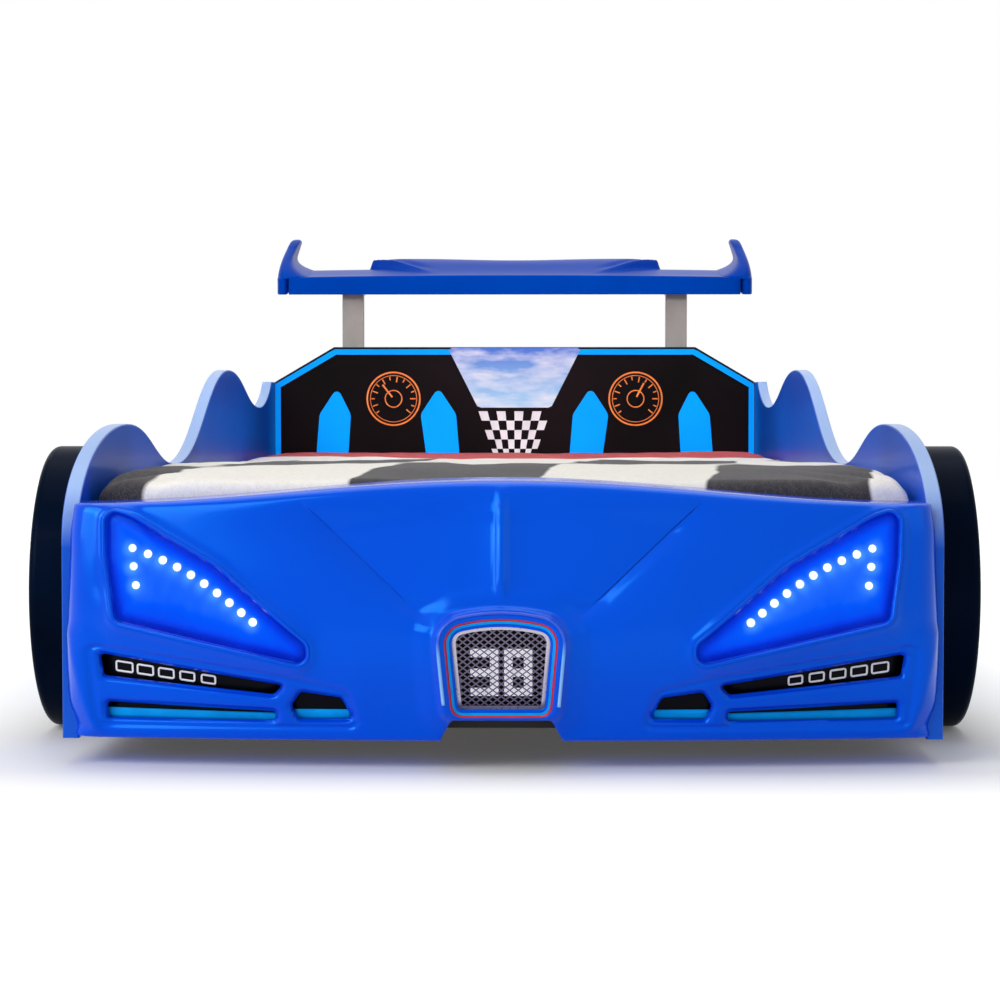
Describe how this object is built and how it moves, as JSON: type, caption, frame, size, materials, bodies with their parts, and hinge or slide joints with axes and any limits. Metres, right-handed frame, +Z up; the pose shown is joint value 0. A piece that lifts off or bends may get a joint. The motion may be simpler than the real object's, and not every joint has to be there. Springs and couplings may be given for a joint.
{
  "type": "car bed",
  "caption": "Child's single bed in the shape of a racing car, with wavy side boards, a lit plastic front, decorative wheels and a rear wing on posts.",
  "frame": {"origin": "on the floor, in the middle of the bed's overall length and width", "axes": "+Z up, the front of the car looks along -Y, +X is on the right of someone who faces the front"},
  "size_m": [1.1, 2.338, 0.717],
  "materials": {
    "board_blue": "glossy blue paint on board",
    "headboard_face": "printed gloss board, black with a cyan border",
    "board_black": "black paint on board",
    "raw_wood": "planed softwood",
    "webbing": "woven tape",
    "black_plastic": "fine-grained black plastic",
    "steel": "zinc-plated steel",
    "ticking": "knitted mattress cover",
    "bedspread": "woven checker in black, white and red",
    "front_blue": "glossy vacuum-formed blue plastic",
    "lamp_blue": "deep blue reflector plastic",
    "lens": "clear blue lens",
    "vent_black": "black plastic tray",
    "stripe_cyan": "cyan plastic strip",
    "frame_silver": "silver frame",
    "digit_white": "white plastic",
    "tyre_black": "glossy dark blue-black formed plastic",
    "rim_silver": "silver-painted plastic",
    "cap_blue": "blue plastic cap",
    "wing_blue": "glossy blue plastic",
    "post_grey": "light grey powder-coated steel",
    "rocker_red": "red plastic",
    "lead_black": "black cable sheath",
    "clip_white": "white plastic",
    "led_light": "lit small lamps on a strip"
  },
  "bodies": {
    "bed": {"side_panel_left": "board_blue", "side_panel_right": "board_blue", "headboard_panel": "headboard_face", "footboard_panel": "board_black", "wheel_discs": "board_black", "slat_rail_left": "raw_wood", "slat_rail_right": "raw_wood", "centre_beam": "raw_wood", "beam_legs": "raw_wood", "slats": "raw_wood", "slat_tapes": "webbing", "panel_glides": "black_plastic", "control_box": "black_plastic", "switch_housing": "black_plastic", "power_inlet": "black_plastic", "grille_mesh": "black_plastic", "panel_bolts": "steel", "rail_screws": "steel", "bumper_screws": "steel", "wheel_screws": "steel", "rim_bolts": "steel", "post_screws": "steel", "switch_pin": "steel", "post_plates": "steel", "mattress": "ticking", "bed_cover": "bedspread", "bumper_shell": "front_blue", "headlight_housing_left": "lamp_blue", "headlight_housing_right": "lamp_blue", "headlight_lens_left": "lens", "headlight_lens_right": "lens", "headlight_leds_left": "led_light", "headlight_leds_right": "led_light", "vent_tray_left": "vent_black", "vent_tray_right": "vent_black", "grille_tray": "vent_black", "vent_stripes": "stripe_cyan", "grille_frame": "frame_silver", "race_number": "digit_white", "tyre_front_left": "tyre_black", "tyre_front_right": "tyre_black", "tyre_rear_left": "tyre_black", "tyre_rear_right": "tyre_black", "rim_front_left": "rim_silver", "rim_front_right": "rim_silver", "rim_rear_left": "rim_silver", "rim_rear_right": "rim_silver", "hub_caps": "cap_blue", "spoiler_wing": "wing_blue", "spoiler_fin_left": "wing_blue", "spoiler_fin_right": "wing_blue", "spoiler_post_left": "post_grey", "spoiler_post_right": "post_grey", "lead_lamp_left": "lead_black", "lead_lamp_right": "lead_black", "lead_switch": "lead_black", "lead_inlet": "lead_black", "lead_clips": "clip_white"},
    "rocker": {"rocker_switch": "rocker_red"}
  },
  "joints": [
    {"name": "rocker_turn", "type": "hinge", "parent": "bed", "child": "rocker", "pos_m": [-0.4769, -0.941, 0.07], "axis": [0, -1, 0], "range_deg": [0, 18]}
  ]
}
